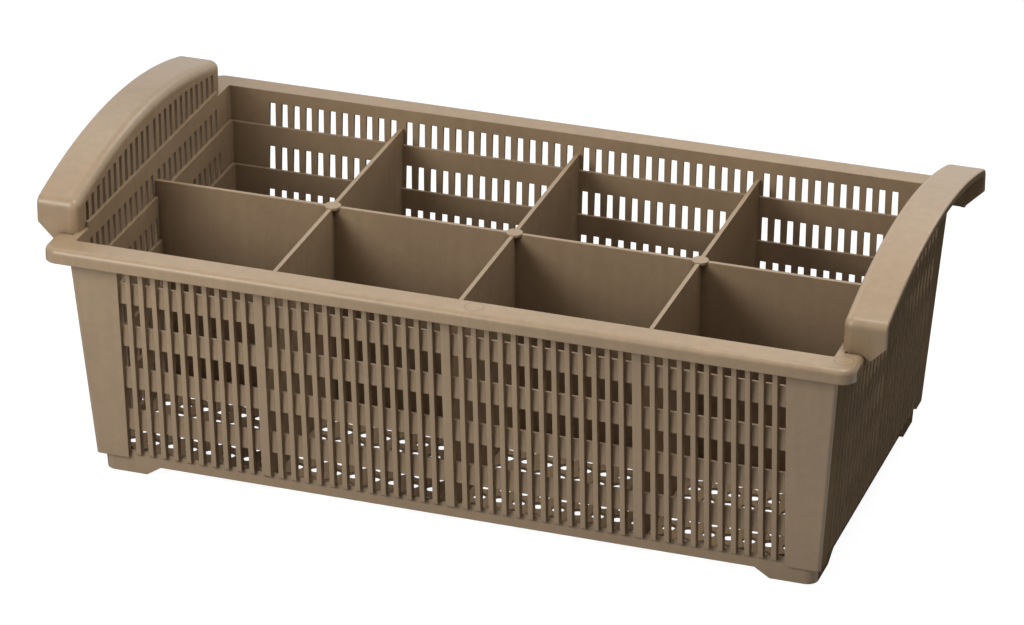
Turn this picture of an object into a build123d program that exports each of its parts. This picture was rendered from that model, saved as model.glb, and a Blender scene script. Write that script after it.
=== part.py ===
from build123d import *
from math import radians, sqrt, tan
import os

# Cutlery basket moulded in one piece. Millimetres, X along the length, +Z up,
# origin under the middle of the feet.

# Opening, read at the top of the walls
half_length = 199.7
half_width = 104.5
rim_height = 132.8
corner_in = 1.0

# Walls: stepped bands inside, drafted ribs outside
draft = 4.0
tiers = 5
rim_to_ledge = 20.2
floor_to_ledge = 5.1
slot_height = 13.2
shut_off = 0.22
rib_proud = 2.6
toe_drop = 2.0
toe_share = 0.48
corner_out = 2.0

# Slots between the ribs, wider at the mouth
slot = 3.4
slot_mouth = 4.4
inner_slots = 14
divider_to_slot = 4.6
plain_corner = 12.0
end_pitch = 7.3
end_first = 4.75
plain_end = 6.0

# Dividers, with a cap on each crossing
divider = 2.2
divider_drop = 11.1
divider_spacing = 100.0
cap_diameter = 8.8
cap_thickness = 1.5
cap_proud = 0.4

# Floor, skirt and feet
skirt_bottom = 5.3
skirt_to_floor = 1.2
floor_thickness = 1.6
floor_to_lip = 2.6
lip_to_panel = 0.8
skirt_wall = 3.0
skirt_corner = 6.5
hole_diameter = 7.0
hole_pitch_x = 10.6
hole_pitch_y = 11.15
hole_edge = 2.0
foot_length = 24.5
foot_slope = 8.0

# Rim along both long sides, turned round the corners
rim_reach_x = 13.6
rim_reach_y = 14.0
rim_depth = 7.6
rim_wall = 2.2
rim_corner = 8.0
rim_round = 3.0
rim_gap = 1.1

# Arched handles at both ends
handle_reach = 24.3
handle_inset = 6.8
handle_lift = 16.9
handle_rise = 15.0
handle_skin = 2.2
handle_lip = 3.6
handle_round = 5.0
handle_edge = 1.0
end_cap = 2.2
end_cap_drop = 12.2
end_cap_tail = 5.8
end_cap_lean = 10.4
end_ledge_lift = 3.0
end_ledge_margin = 0.7
slot_head_drop = 10.4
slot_head_fall = 8.6

# Cutters run past what they cut, and joined pieces run into each other
overshoot = 5.0
cutter_reach = 7.0
knit = 0.3

# Levels, from the feet up
floor_bottom = skirt_bottom + skirt_to_floor
floor_top = floor_bottom + floor_thickness
skirt_top = floor_bottom + floor_to_lip
panel_bottom = skirt_top + lip_to_panel
first_ledge = rim_height - rim_to_ledge
last_ledge = floor_top + floor_to_ledge
rib_bottom = last_ledge - toe_drop
divider_top = rim_height - divider_drop
handle_end_height = rim_height + handle_lift
handle_top = handle_end_height + handle_rise
end_cap_corner = handle_end_height - end_cap_drop
end_cap_bottom = rim_height - end_cap_tail
end_ledge = rim_height + end_ledge_lift
tier_pitch = (first_ledge - last_ledge) / (tiers - 1)
ledges = [first_ledge - tier_pitch * k for k in range(tiers)]
tops = [z + slot_height for z in ledges]

# Walls: each tier steps in by what the draft takes over its height
slope = tan(radians(draft))
step = slope * tier_pitch
band = step - shut_off
low_a = half_length - tiers * step
low_b = half_width - tiers * step
face_a = low_a + band + rib_proud - slope * last_ledge
face_b = low_b + band + rib_proud - slope * last_ledge

# Rim and handles
rim_half_length = half_length + rim_reach_x
rim_half_width = half_width + rim_reach_y
handle_out = half_length + handle_reach
handle_in = half_length + step
handle_half_width = half_width - handle_inset
handle_clear = handle_half_width - end_cap
arch_radius = (handle_half_width**2 + handle_rise**2) / (2 * handle_rise)

# Slot places along the long walls and the end walls
long_pitch = (divider_spacing - 2 * divider_to_slot) / (inner_slots - 1)
outer_first = divider_spacing + divider_to_slot
outer_room = low_a - plain_corner - slot_mouth / 2 - outer_first
inner_x = [divider_to_slot + long_pitch * k for k in range(inner_slots)]
outer_x = [outer_first + long_pitch * k for k in range(int(outer_room / long_pitch) + 1)]
slot_x = [side * x for x in inner_x + outer_x for side in (-1, 1)]
last_slot_x = outer_x[-1] + slot_mouth / 2
end_room = low_b - plain_end - slot_mouth / 2 - end_first
end_y = [end_first + end_pitch * k for k in range(int(end_room / end_pitch) + 1)]
slot_y = [side * y for y in end_y for side in (-1, 1)]
last_slot_y = end_y[-1] + slot_mouth / 2
handle_y = [y for y in slot_y if abs(y) + slot_mouth / 2 < handle_clear - handle_round]

# Hole fields in the floor: middle of each compartment and the holes that fit it
field_y = (low_b + divider / 2) / 2
fields = [divider_spacing / 2, (divider_spacing + divider / 2 + low_a) / 2]
room_x = [divider_spacing - divider, low_a - divider_spacing - divider / 2]
room_y = low_b - divider / 2
hole_room = hole_diameter + 2 * hole_edge
hole_rows = int((room_y - hole_room) / hole_pitch_y) + 1


def stair(base):
    """Outline of what one slot column takes out of a wall, from its foot up."""
    outside = base + cutter_reach
    foot = (skirt_top + rib_bottom) / 2
    points = [(outside, foot), (low_face(base), foot)]
    for k in range(tiers, 0, -1):
        face = base - k * step + band
        points.append((face, tops[k - 1]))
        points.append((face + step, tops[k - 1]))
    points[-1] = (outside, tops[0])
    return points


def low_face(base):
    """Outer face of the lowest band of a wall whose opening is at base."""
    return base - tiers * step + band


def arch(y, depth):
    """Height at y of a line that runs a depth under the top of the handle."""
    return handle_top - depth - arch_radius + sqrt(arch_radius**2 - y**2)


def ribs(slots):
    """Middle and foot width of each rib between neighbouring slots."""
    places = sorted(slots)
    return [((a + b) / 2, b - a - slot) for a, b in zip(places, places[1:])]


def toe_corner(slots):
    """Corner radius of the toes, set by the narrowest rib between these slots."""
    return toe_share * min(width for middle, width in ribs(slots))


def plan(face):
    """Plan of one slot at floor level: slot wide in the band, widening through the ribs up to face."""
    flare = (slot_mouth - slot) / 2 / rib_proud
    rows = [
        (slot / 2, face - cutter_reach),
        (slot / 2, face - rib_proud),
        (slot_mouth / 2 + flare * overshoot, face + overshoot),
    ]
    return rows + [(-across, along) for across, along in reversed(rows)]


# Rim: a flat flange with a turned-down lip, left out across the handles
with BuildPart() as rim:
    with BuildSketch(Plane.XY.offset(rim_height - rim_depth)):
        RectangleRounded(2 * rim_half_length, 2 * rim_half_width, rim_corner)
    extrude(amount=rim_depth)
    fillet(rim.faces().sort_by(Axis.Z)[-1].edges(), rim_round)
    with BuildSketch(Plane.XY.offset(rim_height - rim_depth)):
        RectangleRounded(
            2 * (rim_half_length - rim_wall),
            2 * (rim_half_width - rim_wall),
            rim_corner - rim_wall,
        )
    extrude(amount=rim_depth - rim_wall, mode=Mode.SUBTRACT)
    with Locations((0, 0, rim_height)):
        Box(
            4 * rim_half_length,
            2 * (handle_half_width + rim_gap),
            4 * rim_depth,
            mode=Mode.SUBTRACT,
        )

# Handle at the +X end: arched flange, thin lip and two end caps
with BuildPart() as handle:
    with BuildSketch(Plane.YZ.offset(handle_in)):
        with BuildLine():
            Polyline(
                (handle_half_width, handle_end_height),
                (handle_half_width, end_cap_bottom),
                (-handle_half_width, end_cap_bottom),
                (-handle_half_width, handle_end_height),
            )
            ThreePointArc(
                (-handle_half_width, handle_end_height),
                (0, handle_top),
                (handle_half_width, handle_end_height),
            )
        make_face()
    extrude(amount=handle_out - handle_in)
    inner_face = handle.faces().filter_by(Axis.X).sort_by(Axis.X)[0]
    soft = inner_face.edges().filter_by(Axis.Y, reverse=True)
    across = handle.faces().filter_by(Axis.Y).edges().filter_by(Axis.X).group_by(Axis.Z)[-1]
    fillet(soft + across, handle_round)
    outer_face = handle.faces().filter_by(Axis.X).sort_by(Axis.X)[-1]
    fillet(outer_face.edges().filter_by(Axis.Y, reverse=True), handle_edge)
    hollow_depth = handle_out - handle_skin - handle_in - band
    for depth, reach in ((handle_skin, hollow_depth), (handle_lip, handle_out)):
        shoulder = arch(handle_clear, depth)
        with BuildSketch(Plane.YZ.offset(handle_in + band)):
            with BuildLine():
                Polyline(
                    (handle_clear, shoulder),
                    (handle_clear, 0),
                    (-handle_clear, 0),
                    (-handle_clear, shoulder),
                )
                ThreePointArc((-handle_clear, shoulder), (0, arch(0, depth)), (handle_clear, shoulder))
            hollow = make_face()
            fillet(hollow.vertices().group_by(Axis.Y)[-1], handle_round - end_cap)
        extrude(amount=reach, mode=Mode.SUBTRACT)
    with BuildSketch(Plane.XZ):
        with BuildLine():
            Polyline(
                (handle_out, end_cap_corner),
                (handle_out + overshoot, end_cap_corner),
                (handle_out + overshoot, end_cap_bottom - overshoot),
                (handle_out - end_cap_lean, end_cap_bottom - overshoot),
                (handle_out - end_cap_lean, end_cap_bottom),
                close=True,
            )
        make_face()
    extrude(amount=2 * handle_half_width, both=True, mode=Mode.SUBTRACT)

# Handle wall: the drafted end wall carried up to the flange, with the ledge at its foot
with BuildPart() as handle_wall:
    with BuildSketch(Plane.XZ):
        with BuildLine():
            Polyline(
                (handle_in + band - knit, end_cap_bottom),
                (face_a + slope * end_cap_bottom, end_cap_bottom),
                (face_a + slope * handle_top, handle_top),
                (handle_in + band - knit, handle_top),
                close=True,
            )
        make_face()
    extrude(amount=rim_half_width, both=True)
    with BuildSketch(Plane.YZ):
        with BuildLine():
            edge = handle_clear + knit
            shoulder = arch(edge, handle_skin - knit)
            Polyline((edge, shoulder), (edge, 0), (-edge, 0), (-edge, shoulder))
            ThreePointArc((-edge, shoulder), (0, arch(0, handle_skin - knit)), (edge, shoulder))
        web = make_face()
        fillet(web.vertices().group_by(Axis.Y)[-1], handle_round - end_cap)
    extrude(amount=2 * handle_out, mode=Mode.INTERSECT)
    with Locations((half_length, 0, end_ledge)):
        Box(
            2 * step,
            2 * (last_slot_y + end_ledge_margin),
            end_ledge - end_cap_bottom,
            align=(Align.MIN, Align.CENTER, Align.MAX),
        )

# Slot cutters: one stepped column for both long walls, one for both end walls
with BuildPart() as long_column:
    with BuildSketch(Plane.YZ):
        with BuildLine():
            Polyline(*stair(half_width), close=True)
        make_face()
    extrude(amount=cutter_reach, both=True)
    with BuildSketch():
        with BuildLine():
            Polyline(*plan(face_b), close=True)
        make_face()
    extrude(amount=2 * rim_height, dir=(0, slope, 1), mode=Mode.INTERSECT)
    mirror(about=Plane.XZ)

with BuildPart() as end_wedge:
    with BuildSketch():
        with BuildLine():
            Polyline(*[(along, across) for across, along in plan(face_a)], close=True)
        make_face()
    extrude(amount=2 * rim_height, dir=(slope, 0, 1))

with BuildPart() as end_column:
    with BuildSketch(Plane.XZ):
        with BuildLine():
            Polyline(*stair(half_length), close=True)
        make_face()
    extrude(amount=cutter_reach, both=True)
    add(end_wedge.part, mode=Mode.INTERSECT)
    mirror(about=Plane.YZ)

# Hollows above the skirt that end the ribs in rounded toes, on both wall pairs: each toe is
# rounded from the front as well as from the side
toe_top = rib_bottom + rib_proud
with BuildPart() as long_toes:
    with BuildSketch(Plane.YZ):
        with BuildLine():
            base = low_face(half_width)
            RadiusArc((base + rib_proud, toe_top), (base, rib_bottom), rib_proud)
            Polyline(
                (base, rib_bottom),
                (base, skirt_top),
                (base + cutter_reach, skirt_top),
                (base + cutter_reach, toe_top),
                (base + rib_proud, toe_top),
            )
        make_face()
    extrude(amount=last_slot_x, both=True)
    with BuildSketch(Plane.XZ.offset(-low_face(half_width))):
        with Locations((0, skirt_top)):
            Rectangle(2 * last_slot_x, toe_top - skirt_top, align=(Align.CENTER, Align.MIN))
        for middle, width in ribs(slot_x):
            with Locations((middle, rib_bottom)):
                RectangleRounded(
                    width, tier_pitch, toe_corner(slot_x), align=(Align.CENTER, Align.MIN), mode=Mode.SUBTRACT
                )
    extrude(amount=-cutter_reach)
    mirror(about=Plane.XZ)

with BuildPart() as end_toes:
    with BuildSketch(Plane.XZ):
        with BuildLine():
            base = low_face(half_length)
            RadiusArc((base + rib_proud, toe_top), (base, rib_bottom), rib_proud)
            Polyline(
                (base, rib_bottom),
                (base, skirt_top),
                (base + cutter_reach, skirt_top),
                (base + cutter_reach, toe_top),
                (base + rib_proud, toe_top),
            )
        make_face()
    extrude(amount=last_slot_y, both=True)
    with BuildSketch(Plane.YZ.offset(low_face(half_length))):
        with Locations((0, skirt_top)):
            Rectangle(2 * last_slot_y, toe_top - skirt_top, align=(Align.CENTER, Align.MIN))
        for middle, width in ribs(slot_y):
            with Locations((middle, rib_bottom)):
                RectangleRounded(
                    width, tier_pitch, toe_corner(slot_y), align=(Align.CENTER, Align.MIN), mode=Mode.SUBTRACT
                )
    extrude(amount=cutter_reach)
    mirror(about=Plane.YZ)

# Slots in the handle wall: their heads follow one arch, and none runs into an end cap
with BuildPart() as handle_slots:
    with Locations(*[(0, y, 0) for y in handle_y]):
        add(end_wedge.part)
    with BuildSketch(Plane.YZ.offset(half_length + band)):
        with BuildLine():
            head = handle_top - slot_head_drop
            Polyline(
                (last_slot_y, head - slot_head_fall),
                (last_slot_y, tops[0] - overshoot),
                (-last_slot_y, tops[0] - overshoot),
                (-last_slot_y, head - slot_head_fall),
            )
            ThreePointArc(
                (-last_slot_y, head - slot_head_fall), (0, head), (last_slot_y, head - slot_head_fall)
            )
        make_face()
    extrude(amount=handle_reach, mode=Mode.INTERSECT)
    mirror(about=Plane.YZ)

# Floor plate: a field of round holes in each compartment
with BuildPart() as floor:
    with BuildSketch(Plane.XY.offset(floor_bottom)):
        RectangleRounded(2 * low_a + band, 2 * low_b + band, skirt_corner - band / 2)
        for field_x, room in zip(fields, room_x):
            columns = int((room - hole_room) / hole_pitch_x) + 1
            with GridLocations(2 * field_x, 2 * field_y, 2, 2):
                with GridLocations(hole_pitch_x, hole_pitch_y, columns, hole_rows):
                    Circle(hole_diameter / 2, mode=Mode.SUBTRACT)
    extrude(amount=floor_thickness)

with BuildPart() as basket:
    # Drafted body: the length profile and the width profile together, corners rounded
    for plane, face in ((Plane.XZ, face_a), (Plane.YZ, face_b)):
        low_edge = face + slope * panel_bottom
        high_edge = face + slope * rim_height
        with BuildSketch(plane):
            with BuildLine():
                Polyline(
                    (-low_edge, panel_bottom),
                    (low_edge, panel_bottom),
                    (high_edge, rim_height),
                    (-high_edge, rim_height),
                    close=True,
                )
            make_face()
        extrude(
            amount=rim_half_length,
            both=True,
            mode=Mode.ADD if plane == Plane.XZ else Mode.INTERSECT,
        )
    corners = basket.edges().filter_by_position(Axis.Z, panel_bottom, rim_height, inclusive=(False, False))
    fillet(corners, corner_out)
    # Lowest band, and the skirt down to the feet
    with BuildSketch(Plane.XY.offset(skirt_top)):
        RectangleRounded(2 * (low_a + band), 2 * (low_b + band), skirt_corner)
    extrude(amount=tops[-1] - skirt_top)
    with BuildSketch(Plane.XY.offset(skirt_top)):
        RectangleRounded(2 * (low_a + band), 2 * (low_b + band), skirt_corner)
    extrude(amount=-skirt_top, taper=draft)
    add(long_toes.part, mode=Mode.SUBTRACT)
    add(end_toes.part, mode=Mode.SUBTRACT)
    add(rim.part)
    add(handle.part)
    add(handle_wall.part)
    add(mirror(handle.part, about=Plane.YZ, mode=Mode.PRIVATE))
    add(mirror(handle_wall.part, about=Plane.YZ, mode=Mode.PRIVATE))
    # Compartments, tier by tier
    for k, z in enumerate(ledges + [floor_bottom]):
        pocket_corner = corner_in if k < tiers else skirt_corner - band
        with BuildSketch(Plane.XY.offset(z)):
            RectangleRounded(2 * (half_length - k * step), 2 * (half_width - k * step), pocket_corner)
            Rectangle(3 * half_length, divider, mode=Mode.SUBTRACT)
            with GridLocations(divider_spacing, 1, 3, 1):
                Rectangle(divider, 3 * half_width, mode=Mode.SUBTRACT)
        pocket_top = divider_top if k == 0 else ledges[k - 1]
        extrude(amount=pocket_top - z, mode=Mode.SUBTRACT)
    with BuildSketch(Plane.XY.offset(divider_top)):
        RectangleRounded(2 * half_length, 2 * half_width, corner_in)
    extrude(amount=handle_top, mode=Mode.SUBTRACT)
    # Hollow underside, and the skirt cut away between the corner feet
    with BuildSketch(Plane.XY):
        RectangleRounded(
            2 * (low_a + band - skirt_wall), 2 * (low_b + band - skirt_wall), skirt_corner - skirt_wall
        )
    extrude(amount=floor_bottom, mode=Mode.SUBTRACT)
    flare = foot_slope * overshoot / skirt_bottom
    for plane, wall in ((Plane.XZ, low_a), (Plane.YZ, low_b)):
        run = wall + band - foot_length
        with BuildSketch(plane):
            with BuildLine():
                Polyline(
                    (-run - flare, -overshoot),
                    (run + flare, -overshoot),
                    (run - foot_slope, skirt_bottom),
                    (foot_slope - run, skirt_bottom),
                    close=True,
                )
            make_face()
        extrude(amount=2 * rim_half_length, both=True, mode=Mode.SUBTRACT)
    # Caps on the crossings
    with Locations((0, 0, divider_top + cap_proud)):
        with GridLocations(divider_spacing, 1, 3, 1):
            Cylinder(cap_diameter / 2, cap_thickness, align=(Align.CENTER, Align.CENTER, Align.MAX))
    add(floor.part, clean=False)
    # Slots: every column of a wall pair in one cut
    with Locations(*[(x, 0, 0) for x in slot_x]):
        add(long_column.part, clean=False, mode=Mode.SUBTRACT)
    with Locations(*[(0, y, 0) for y in slot_y]):
        add(end_column.part, clean=False, mode=Mode.SUBTRACT)
    add(handle_slots.part, mode=Mode.SUBTRACT)

os.makedirs("parts", exist_ok=True)
basket.part.label = "basket"
export_step(basket.part, "parts/basket.step")
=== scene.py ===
# %% [markdown]
# # A cutlery basket for a dishwasher, dressed for its picture
# The basket is one injection moulding, so there is one piece to show. Its walls, ribs,
# slots, floor holes and handles are already true in the CAD model. This lesson loads that
# model, gives it the satin skin of moulded polypropylene, and sets up a plain white studio
# with a camera where the photographer stood.

from math import cos, radians, sin

import bpy
from mathutils import Matrix, Vector


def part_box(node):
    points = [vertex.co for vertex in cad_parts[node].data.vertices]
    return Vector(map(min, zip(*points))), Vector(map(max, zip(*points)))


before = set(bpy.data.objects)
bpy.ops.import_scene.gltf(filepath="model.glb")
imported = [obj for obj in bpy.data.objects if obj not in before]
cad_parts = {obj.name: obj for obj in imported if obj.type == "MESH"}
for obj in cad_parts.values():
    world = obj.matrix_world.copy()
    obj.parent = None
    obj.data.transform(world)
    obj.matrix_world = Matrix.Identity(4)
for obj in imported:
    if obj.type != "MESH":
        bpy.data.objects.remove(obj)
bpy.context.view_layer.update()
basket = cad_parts["basket"]
low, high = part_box("basket")
size = high - low
print("basket triangles:", len(basket.data.polygons), "size in metres:", [round(v, 4) for v in size])

# %% [markdown]
# ## The camera
# The photograph was taken with a long lens, from the front right and above. Long lenses
# flatten perspective, so the camera stands far off and looks through a narrow field. It
# could be aimed by eye, but its place and its three angles were worked out from the corners
# of the basket in the picture. They are written here as plain numbers, in metres and degrees.

# %% Camera at the photographer's place
camera_place = Vector((0.7576, -2.2251, 1.2315))
turn_left = radians(18.83)
look_down = radians(26.18)
lean = radians(0.17)
sensor_width = 36.0
lens_length = 177.4

ahead = Vector((-sin(turn_left) * cos(look_down), cos(turn_left) * cos(look_down), -sin(look_down)))
level = Vector((cos(turn_left), sin(turn_left), 0.0))
upright = level.cross(ahead)
right = level * cos(lean) + upright * sin(lean)
up = upright * cos(lean) - level * sin(lean)
camera_turn = Matrix((right, up, -ahead)).transposed().to_4x4()

camera_data = bpy.data.cameras.new("studio_camera")
camera_data.sensor_fit = "HORIZONTAL"
camera_data.sensor_width = sensor_width
camera_data.lens = lens_length
camera = bpy.data.objects.new("studio_camera", camera_data)
bpy.context.scene.collection.objects.link(camera)
camera.matrix_world = Matrix.Translation(camera_place) @ camera_turn
bpy.context.scene.camera = camera
print("camera to basket:", round((camera_place - (low + high) / 2).length, 3), "m")

# %% [markdown]
# ## A white studio that still takes a shadow
# Everything round the basket is white in the photograph, also what shows through the slots
# and the drain holes. A floor that the lamps alone made white would need so much light that
# the plastic would bleach. So the camera, and any mirror-like glint, sees a floor and a
# world that glow up to white by themselves. A share of that floor is ordinary matt paint,
# which keeps a soft shadow under the basket. Light that bounces meets another paint, grey
# and without the glow, so the far end of the basket stays dark, as in the photograph.

# %% The rays that should see white
white_rays = ("Is Camera Ray", "Is Glossy Ray", "Is Transmission Ray")


def sees_white(tree):
    """Socket that is 1 for a ray that should see white and 0 for any other."""
    path = tree.nodes.new("ShaderNodeLightPath")
    total = path.outputs[white_rays[0]]
    for ray in white_rays[1:]:
        either = tree.nodes.new("ShaderNodeMath")
        either.operation = "MAXIMUM"
        tree.links.new(total, either.inputs[0])
        tree.links.new(path.outputs[ray], either.inputs[1])
        total = either.outputs["Value"]
    return total


def choose_white(tree, plain, white, surface):
    """Feed surface with the white shader where a ray should see white, or else the plain one."""
    choose = tree.nodes.new("ShaderNodeMixShader")
    tree.links.new(sees_white(tree), choose.inputs["Fac"])
    tree.links.new(plain, choose.inputs[1])
    tree.links.new(white, choose.inputs[2])
    tree.links.new(choose.outputs["Shader"], surface)


print("rays that see white:", white_rays)

# %% Floor
floor_half = 6.0
floor_drop = 0.0003
bpy.ops.object.select_all(action="DESELECT")
bpy.ops.mesh.primitive_plane_add(size=2 * floor_half, location=(0, 0, -floor_drop))
floor = bpy.context.object
floor.name = "studio_floor"
bpy.ops.object.transform_apply(location=True)
print("floor", 2 * floor_half, "m across")

# %% White paper on the floor
plain_white = (1, 1, 1, 1)
glow_strength = 0.93
shadow_grey = 0.25
bounce_grey = 0.32


def fresh_tree(owner):
    """Node tree of a material or world, emptied."""
    owner.use_nodes = True
    owner.node_tree.nodes.clear()
    return owner.node_tree


def matt_paint(tree, grey):
    """Shader socket of a matt paint in this grey."""
    paint = tree.nodes.new("ShaderNodeBsdfDiffuse")
    paint.inputs["Color"].default_value = (grey, grey, grey, 1)
    return paint.outputs["BSDF"]


paper = bpy.data.materials.new("white_paper")
tree = fresh_tree(paper)
glow = tree.nodes.new("ShaderNodeEmission")
glow.inputs["Color"].default_value = plain_white
glow.inputs["Strength"].default_value = glow_strength
seen = tree.nodes.new("ShaderNodeAddShader")
tree.links.new(glow.outputs["Emission"], seen.inputs[0])
tree.links.new(matt_paint(tree, shadow_grey), seen.inputs[1])
out = tree.nodes.new("ShaderNodeOutputMaterial")
choose_white(tree, matt_paint(tree, bounce_grey), seen.outputs["Shader"], out.inputs["Surface"])
floor.data.materials.append(paper)
print("paper glow:", glow_strength, "paint:", shadow_grey, "bounce:", bounce_grey)

# %% World
fill_strength = 0.03
white_strength = 1.0


def background(tree, strength):
    """Shader socket of a white background of this strength."""
    sky = tree.nodes.new("ShaderNodeBackground")
    sky.inputs["Color"].default_value = plain_white
    sky.inputs["Strength"].default_value = strength
    return sky.outputs["Background"]


world = bpy.data.worlds.new("studio_world")
bpy.context.scene.world = world
tree = fresh_tree(world)
fill = background(tree, fill_strength)
white = background(tree, white_strength)
out = tree.nodes.new("ShaderNodeOutputWorld")
choose_white(tree, fill, white, out.inputs["Surface"])
bpy.context.scene.view_settings.view_transform = "Standard"
print("world fill:", fill_strength)

# %% [markdown]
# ## Studio light
# The front is brightest at its left end and the right end is dark, so the main soft box
# stands close by on the front left. A faint one at the front right keeps that corner from
# going black. The strongest hangs above the right half and lights the rim and the dividers.
# Two soft boxes behind the basket light the tops of the handles at a slant, and they draw
# the thin bright line along the round of each handle.

# %% Lamps
def soft_box(name, place, target, width, height, watts):
    """Add a rectangular lamp at place, facing target, with its sides in metres."""
    data = bpy.data.lights.new(name, "AREA")
    data.shape = "RECTANGLE"
    data.size = width
    data.size_y = height
    data.energy = watts
    lamp = bpy.data.objects.new(name, data)
    bpy.context.scene.collection.objects.link(lamp)
    lamp.location = place
    lamp.rotation_euler = (Vector(target) - Vector(place)).to_track_quat("-Z", "Y").to_euler()


soft_box("front_left_box", (-0.4, -0.7, 0.5), (-0.1, -0.1, 0.08), width=0.35, height=0.35, watts=3.9)
soft_box("front_box", (0.42, -1.3, 0.8), (0, 0, 0.1), width=0.5, height=0.4, watts=0.6)
soft_box("overhead_box", (0.24, -0.05, 0.9), (0.08, 0, 0.1), width=0.4, height=0.5, watts=4.4)
soft_box("back_right_box", (0.28, 1.0, 0.85), (0, 0, 0.12), width=0.5, height=0.4, watts=2.6)
soft_box("back_left_box", (-0.7, 0.6, 0.8), (0, 0, 0.12), width=0.5, height=0.4, watts=0.8)

# %% [markdown]
# ## What the mould leaves on the plastic
# Three things show on a moulded skin. The steel was spark eroded, so the surface has a fine
# grain. The melt flowed up the walls, so there are faint upright streaks and slow drifts of
# tone. And ejector pins pushed the part out, leaving faint rings on the rim. All are too
# shallow to model. Each is a node group that gives out plain values from the place on the
# basket, so another material can use it too.

# %% Small helpers for node groups
def new_group(name, outputs):
    """Empty node group with float outputs of these names, its Object point and its output node."""
    group = bpy.data.node_groups.new(name, "ShaderNodeTree")
    for output in outputs:
        group.interface.new_socket(name=output, in_out="OUTPUT", socket_type="NodeSocketFloat")
    point = group.nodes.new("ShaderNodeTexCoord").outputs["Object"]
    return group, point, group.nodes.new("NodeGroupOutput")


def noise(tree, point, waves, detail):
    """Noise value around 0.5, from a point in metres, with this many waves in a metre."""
    texture = tree.nodes.new("ShaderNodeTexNoise")
    texture.inputs["Scale"].default_value = waves
    texture.inputs["Detail"].default_value = detail
    tree.links.new(point, texture.inputs["Vector"])
    return texture.outputs["Fac"]


def calculate(tree, operation, first, second):
    """Result of an operation on two values, each of them a socket or a number."""
    node = tree.nodes.new("ShaderNodeMath")
    node.operation = operation
    for value, socket in zip((first, second), node.inputs):
        if isinstance(value, (int, float)):
            socket.default_value = value
        else:
            tree.links.new(value, socket)
    return node.outputs["Value"]


print("helpers:", [helper.__name__ for helper in (new_group, noise, calculate)])

# %% Grain of the spark-eroded mould
coarse_waves = 1400
fine_waves = 3600
fine_share = 0.5

grain_group, point, result = new_group("spark_grain", ["Height"])
coarse = noise(grain_group, point, coarse_waves, detail=2)
fine = noise(grain_group, point, fine_waves, detail=1)
height = calculate(grain_group, "ADD", coarse, calculate(grain_group, "MULTIPLY", fine, fine_share))
grain_group.links.new(height, result.inputs["Height"])
print("group:", grain_group.name, "waves in a metre:", coarse_waves, fine_waves)

# %% Flow of the melt
drift_waves = 11
streak_waves = 210
mottle_waves = 190
streak_squeeze = (1.0, 1.0, 0.05)

flow_group, point, result = new_group("melt_flow", ["Drift", "Streak", "Mottle"])
squeeze = flow_group.nodes.new("ShaderNodeVectorMath")
squeeze.operation = "MULTIPLY"
squeeze.inputs[1].default_value = streak_squeeze
flow_group.links.new(point, squeeze.inputs[0])
drift = noise(flow_group, point, drift_waves, detail=2)
streak = noise(flow_group, squeeze.outputs["Vector"], streak_waves, detail=3)
mottle = noise(flow_group, point, mottle_waves, detail=4)
flow_group.links.new(drift, result.inputs["Drift"])
flow_group.links.new(streak, result.inputs["Streak"])
flow_group.links.new(mottle, result.inputs["Mottle"])
print("group:", flow_group.name, "waves in a metre:", drift_waves, streak_waves, mottle_waves)

# %% Ejector rings on the top of the rim
rim_top = 0.1328
ring_radius = 0.0048
ring_width = 0.0005
ring_places = [(0.2055, -0.1072), (0.0166, -0.1100)]

ring_group, point, result = new_group("ejector_rings", ["Mask"])
mask = None
for x, y in ring_places:
    reach = ring_group.nodes.new("ShaderNodeVectorMath")
    reach.operation = "DISTANCE"
    reach.inputs[1].default_value = (x, y, rim_top)
    ring_group.links.new(point, reach.inputs[0])
    off_line = calculate(ring_group, "SUBTRACT", reach.outputs["Value"], ring_radius)
    near = calculate(ring_group, "DIVIDE", calculate(ring_group, "ABSOLUTE", off_line, 0.0), ring_width)
    line = calculate(ring_group, "MAXIMUM", calculate(ring_group, "SUBTRACT", 1.0, near), 0.0)
    mask = line if mask is None else calculate(ring_group, "MAXIMUM", mask, line)
ring_group.links.new(mask, result.inputs["Mask"])
print("group:", ring_group.name, "rings:", len(ring_places))

# %% [markdown]
# ## Moulded polypropylene
# The plastic is a warm taupe with a satin skin. One material covers the whole basket, as one
# shot of melt did. It takes in the three groups, and the next steps build on it: worn edges
# with a painted highlight, tone, painted shade in hollows, gloss and, last, the shader that joins them.

# %% Start of the taupe plastic
noise_range = (0.3, 0.7)


def group_outputs(tree, group):
    """Outputs of a node group that is placed in a material."""
    node = tree.nodes.new("ShaderNodeGroup")
    node.node_tree = group
    return node.outputs


def ramp(tree, value, source, target):
    """A value mapped from the source range to the target range, and held at the ends."""
    node = tree.nodes.new("ShaderNodeMapRange")
    for socket, number in zip(("From Min", "From Max", "To Min", "To Max"), source + target):
        node.inputs[socket].default_value = number
    tree.links.new(value, node.inputs["Value"])
    return node.outputs["Result"]


def spread(tree, value, target):
    """A noise value around 0.5, spread over the target range."""
    return ramp(tree, value, noise_range, target)


plastic = bpy.data.materials.new("taupe_polypropylene")
tree = fresh_tree(plastic)
flow = group_outputs(tree, flow_group)
grain = group_outputs(tree, grain_group)
rings = group_outputs(tree, ring_group)
print("material:", plastic.name, "with groups:", [node.node_tree.name for node in tree.nodes])

# %% [markdown]
# ## Edges worn by handling, with a painted highlight
# No moulded edge is truly sharp. A Bevel modifier would change the CAD mesh, so the Bevel
# node lays a small round on every sharp edge in the shading alone. Where that rounded normal
# leaves the true one there is an edge. There wear makes the plastic a little smoother, and a
# painted highlight makes it paler. The mottle of the melt breaks both up, so that they aren't an even
# line.

# %% Mask of the worn edges and their painted highlight
edge_samples = 4
edge_round = 0.0006
edge_gain = 3.0
wear_and_highlight_range = (0.25, 0.75)

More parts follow.
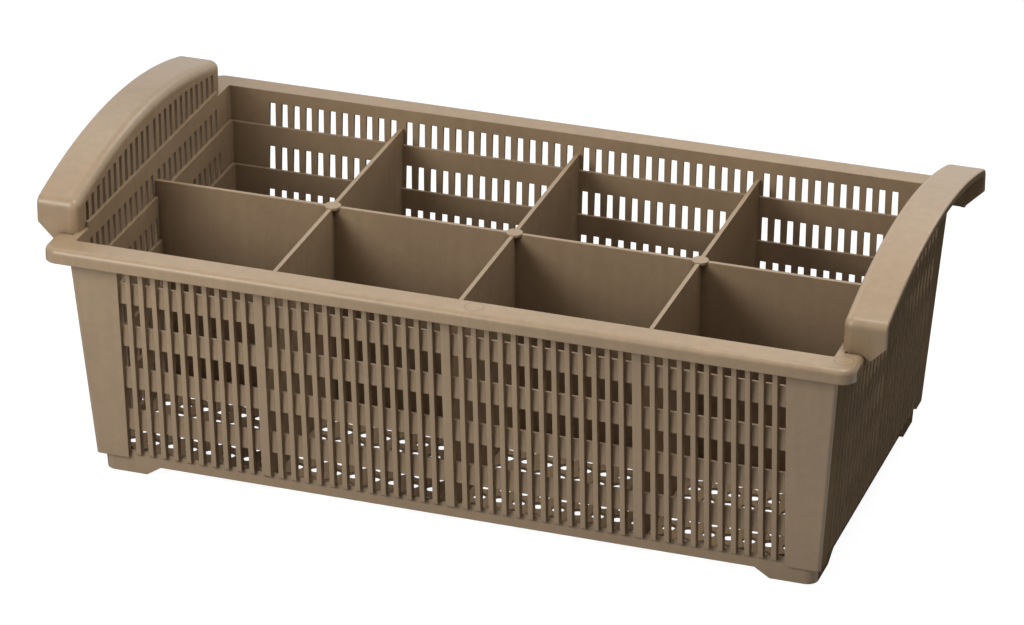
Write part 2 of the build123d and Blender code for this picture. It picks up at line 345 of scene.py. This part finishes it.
edge = tree.nodes.new("ShaderNodeBevel")
edge.samples = edge_samples
edge.inputs["Radius"].default_value = edge_round
true_face = tree.nodes.new("ShaderNodeNewGeometry")
agree = tree.nodes.new("ShaderNodeVectorMath")
agree.operation = "DOT_PRODUCT"
tree.links.new(edge.outputs["Normal"], agree.inputs[0])
tree.links.new(true_face.outputs["Normal"], agree.inputs[1])
bent = calculate(tree, "SUBTRACT", 1.0, agree.outputs["Value"])
edge_mask = calculate(tree, "MINIMUM", calculate(tree, "MULTIPLY", bent, edge_gain), 1.0)
# Wear and painted highlight share one mask: the edges, broken up by the mottle.
wear_and_highlight = calculate(tree, "MULTIPLY", edge_mask, spread(tree, flow["Mottle"], wear_and_highlight_range))
print("round on edges:", round(edge_round * 1000, 2), "mm")

# %% [markdown]
# ## Tone
# The colour of the plastic is even, but not flat. Drift, streaks and mottle each make it a
# few hundredths lighter or darker, and the ejector rings are drawn as dark lines. All of it
# is one factor around 1, which multiplies the colour at the end.

# %% Tone of the melt and the rings
drift_tone = (-0.05, 0.05)
streak_tone = (-0.04, 0.04)
mottle_tone = (-0.04, 0.04)
ring_tone = 0.35

drift = spread(tree, flow["Drift"], drift_tone)
streak = spread(tree, flow["Streak"], streak_tone)
mottle = spread(tree, flow["Mottle"], mottle_tone)
tone_and_painted_shade = calculate(tree, "ADD", calculate(tree, "ADD", drift, streak), mottle)
tone_and_painted_shade = calculate(tree, "SUBTRACT", tone_and_painted_shade, calculate(tree, "MULTIPLY", rings["Mask"], ring_tone))
tone_and_painted_shade = calculate(tree, "ADD", tone_and_painted_shade, 1.0)
print("tone ranges:", drift_tone, streak_tone, mottle_tone)

# %% [markdown]
# ## Painted shade in slots and compartments
# The slots and the foot of the compartments are darker than the open plastic. Less
# light alone would leave the rim too dark as well. So shade is painted into the colour by two masks of
# how much open air a spot sees: a far one for the compartments and a near one for the slots.

# %% Open air round a spot, for the painted shade
air_samples = 2
compartment_reach = 0.12
compartment_air = (0.10, 0.30)
compartment_painted_shade = (0.40, 1.0)
slot_reach = 0.006
slot_air = (0.15, 0.60)
slot_painted_shade = (0.35, 1.0)


def open_air(tree, reach):
    """Share of open air that a spot of the basket sees within this reach, from 0 to 1."""
    node = tree.nodes.new("ShaderNodeAmbientOcclusion")
    node.samples = air_samples
    node.only_local = True
    node.inputs["Distance"].default_value = reach
    return node.outputs["AO"]


# Painted shade: the colour is darkened at the foot of the compartments, where little open air is seen.
far_air = open_air(tree, compartment_reach)
tone_and_painted_shade = calculate(tree, "MULTIPLY", tone_and_painted_shade, ramp(tree, far_air, compartment_air, compartment_painted_shade))
# Painted shade: the colour is darkened in the slots.
near_air = open_air(tree, slot_reach)
tone_and_painted_shade = calculate(tree, "MULTIPLY", tone_and_painted_shade, ramp(tree, near_air, slot_air, slot_painted_shade))
print("deepest colour:", compartment_painted_shade[0], "in compartments,", slot_painted_shade[0], "in slots")

# %% [markdown]
# ## Gloss
# The skin is satin, and smoother where it is polished. Plain gloss would make the right end
# mirror the white floor, because the camera sees that wall at a slant. So Layer Weight takes
# the gloss off surfaces seen at a slant, and those that face up, such as the rim, lose it
# later than upright walls. Deep in the slots and compartments there is no gloss at all.

# %% Gloss and roughness
upward_range = (0.3, 0.7)
upward_allowance = (0.0, 0.3)
slant_range = (0.45, 0.66)
slant_gloss = (0.50, 0.0)
gloss_air = (0.35, 0.65)
satin_range = (0.32, 0.40)
polish_depth = 0.08

direction = tree.nodes.new("ShaderNodeSeparateXYZ")
tree.links.new(true_face.outputs["Normal"], direction.inputs["Vector"])
upward = ramp(tree, direction.outputs["Z"], upward_range, upward_allowance)
facing = tree.nodes.new("ShaderNodeLayerWeight").outputs["Facing"]
gloss = ramp(tree, calculate(tree, "SUBTRACT", facing, upward), slant_range, slant_gloss)
gloss = calculate(tree, "MULTIPLY", gloss, ramp(tree, far_air, gloss_air, (0.0, 1.0)))
satin = spread(tree, flow["Mottle"], satin_range)
rough = calculate(tree, "SUBTRACT", satin, calculate(tree, "MULTIPLY", wear_and_highlight, polish_depth))
print("roughness:", satin_range, "less", polish_depth, "on polished edges")

# %% [markdown]
# ## Colour, grain and shader
# The colour goes from taupe to a paler taupe on worn edges, a painted highlight, and is multiplied by
# the tone and the painted shade.
# The grain stands up and the rings sink in through a Bump node, because relief this fine
# needs no mesh. It starts from the rounded normal of the Bevel node, so edges stay soft.

# %% Colour
# The paler taupe on the edges is a painted highlight as well as wear.
taupe = (0.408, 0.286, 0.173, 1)
worn_highlight_taupe = (0.500, 0.370, 0.245, 1)

# Painted highlight: the colour goes paler along the worn edges.
worn_highlight_mix = tree.nodes.new("ShaderNodeMix")
worn_highlight_mix.data_type = "RGBA"
worn_highlight_mix.inputs["A"].default_value = taupe
worn_highlight_mix.inputs["B"].default_value = worn_highlight_taupe
tree.links.new(wear_and_highlight, worn_highlight_mix.inputs["Factor"])
shade = tree.nodes.new("ShaderNodeVectorMath")
shade.operation = "SCALE"
tree.links.new(worn_highlight_mix.outputs["Result"], shade.inputs["Vector"])
tree.links.new(tone_and_painted_shade, shade.inputs["Scale"])
print("colour:", taupe[:3], "polished:", worn_highlight_taupe[:3])

# %% Grain
grain_strength = 0.35
grain_height = 0.00006

bump = tree.nodes.new("ShaderNodeBump")
bump.inputs["Strength"].default_value = grain_strength
bump.inputs["Distance"].default_value = grain_height
relief = calculate(tree, "SUBTRACT", grain["Height"], rings["Mask"])
tree.links.new(relief, bump.inputs["Height"])
tree.links.new(edge.outputs["Normal"], bump.inputs["Normal"])
print("grain:", round(grain_height * 1000, 3), "mm at strength", grain_strength)

# %% Skin of the basket
plastic_ior = 1.49

skin = tree.nodes.new("ShaderNodeBsdfPrincipled")
skin.inputs["IOR"].default_value = plastic_ior
tree.links.new(shade.outputs["Vector"], skin.inputs["Base Color"])
tree.links.new(rough, skin.inputs["Roughness"])
tree.links.new(gloss, skin.inputs["Specular IOR Level"])
tree.links.new(bump.outputs["Normal"], skin.inputs["Normal"])
out = tree.nodes.new("ShaderNodeOutputMaterial")
tree.links.new(skin.outputs["BSDF"], out.inputs["Surface"])
basket.data.materials.clear()
basket.data.materials.append(plastic)
print("material slots:", [m.name for m in basket.data.materials])
